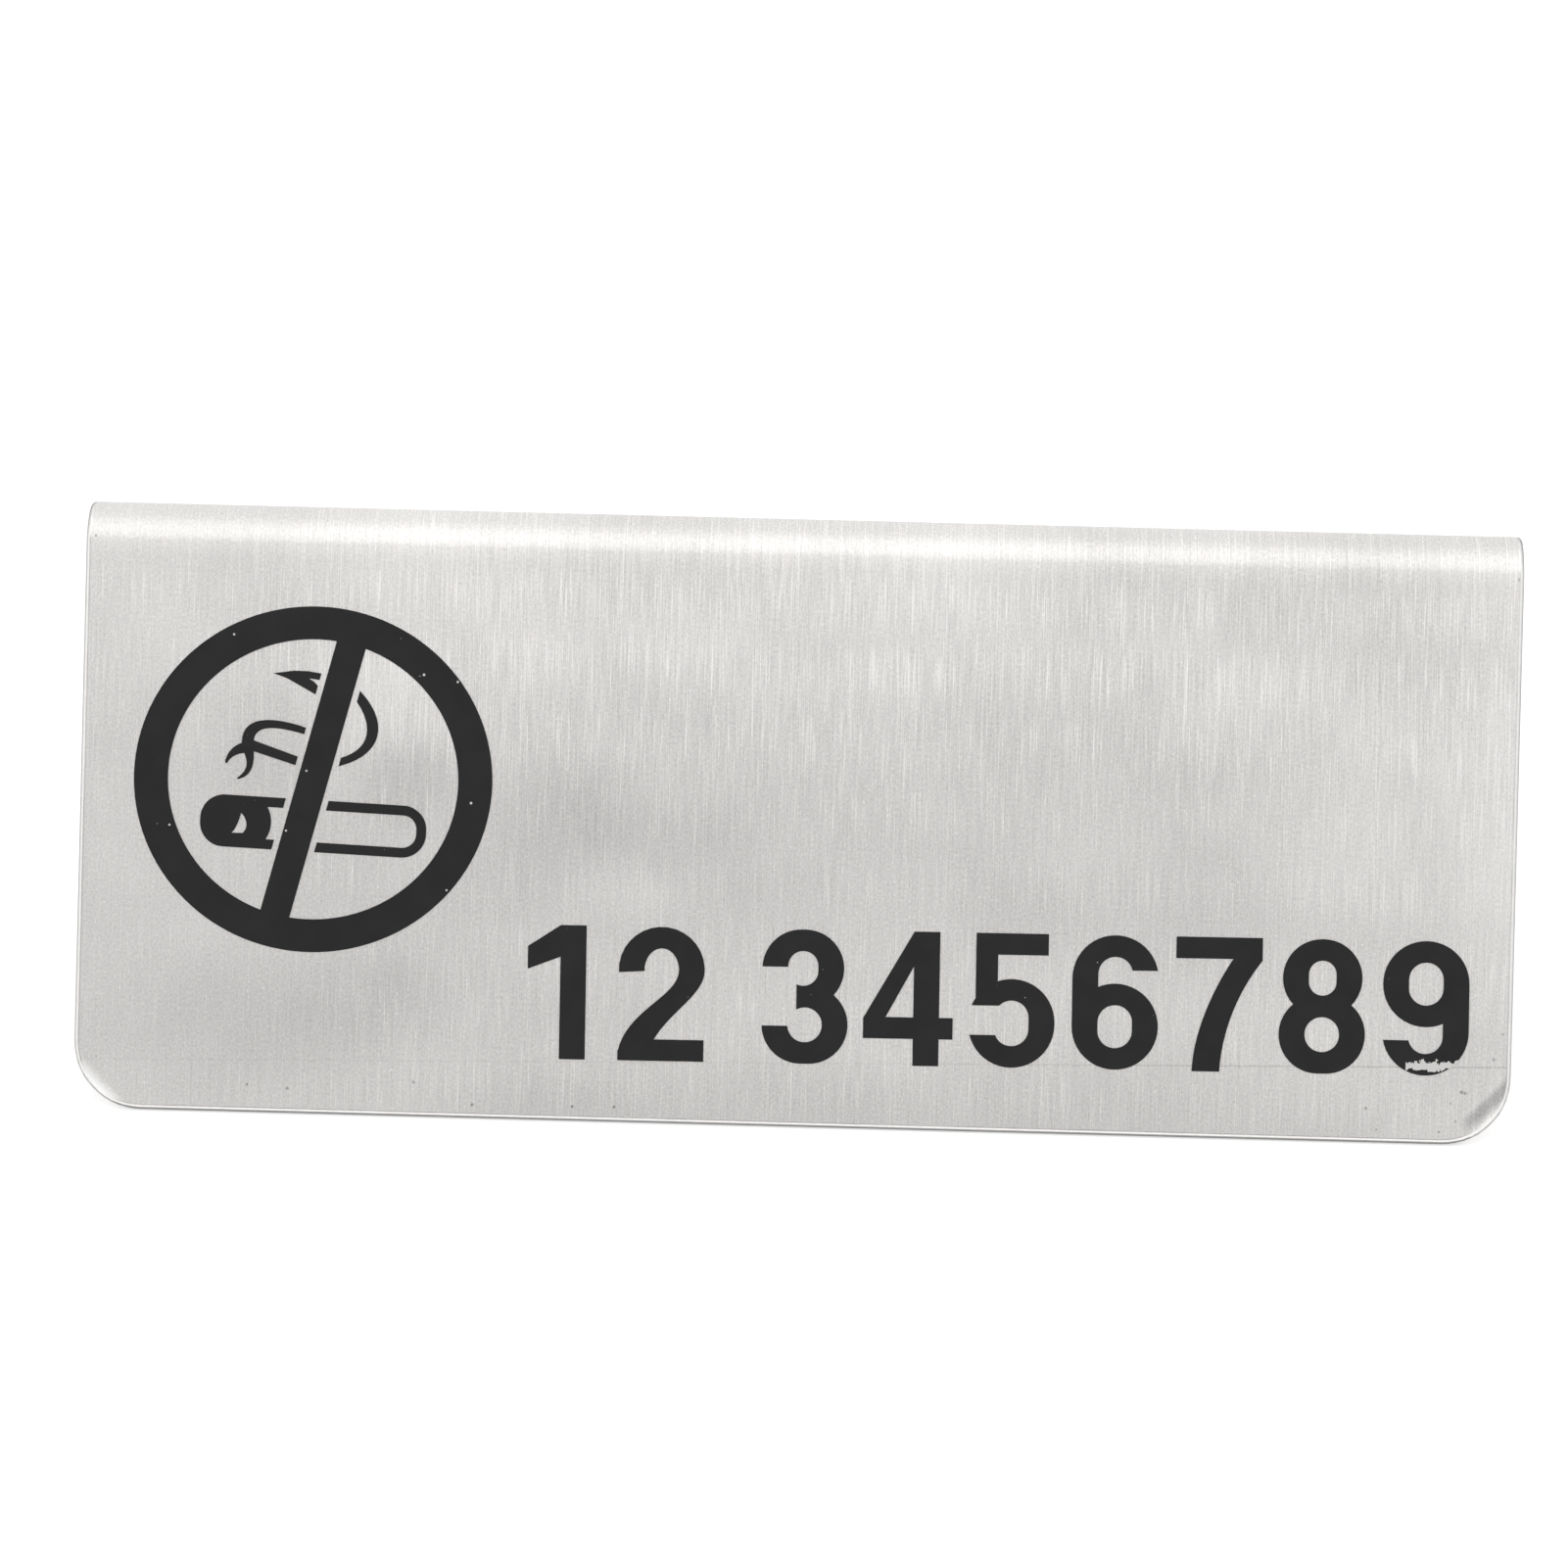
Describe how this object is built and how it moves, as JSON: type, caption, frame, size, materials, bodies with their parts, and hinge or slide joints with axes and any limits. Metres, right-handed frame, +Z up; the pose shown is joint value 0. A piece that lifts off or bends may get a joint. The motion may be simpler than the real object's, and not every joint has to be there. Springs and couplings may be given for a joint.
{
  "type": "double-sided table sign",
  "caption": "Brushed steel sheet folded over into a free-standing tent, with a no-smoking symbol and plain numerals printed on both sloping sides.",
  "frame": {"origin": "on the table, midway between the two legs and halfway along the sign", "axes": "+X along the fold, to the right for someone facing the front leg; -Y out of the front, towards that person; +Z up"},
  "size_m": [0.12, 0.0414, 0.0464],
  "materials": {
    "steel": "satin",
    "ink": "satin"
  },
  "bodies": {
    "root": {"folded_sheet": "steel", "front_symbol": "ink", "front_numerals": "ink", "rear_symbol": "ink", "rear_numerals": "ink"}
  },
  "joints": []
}
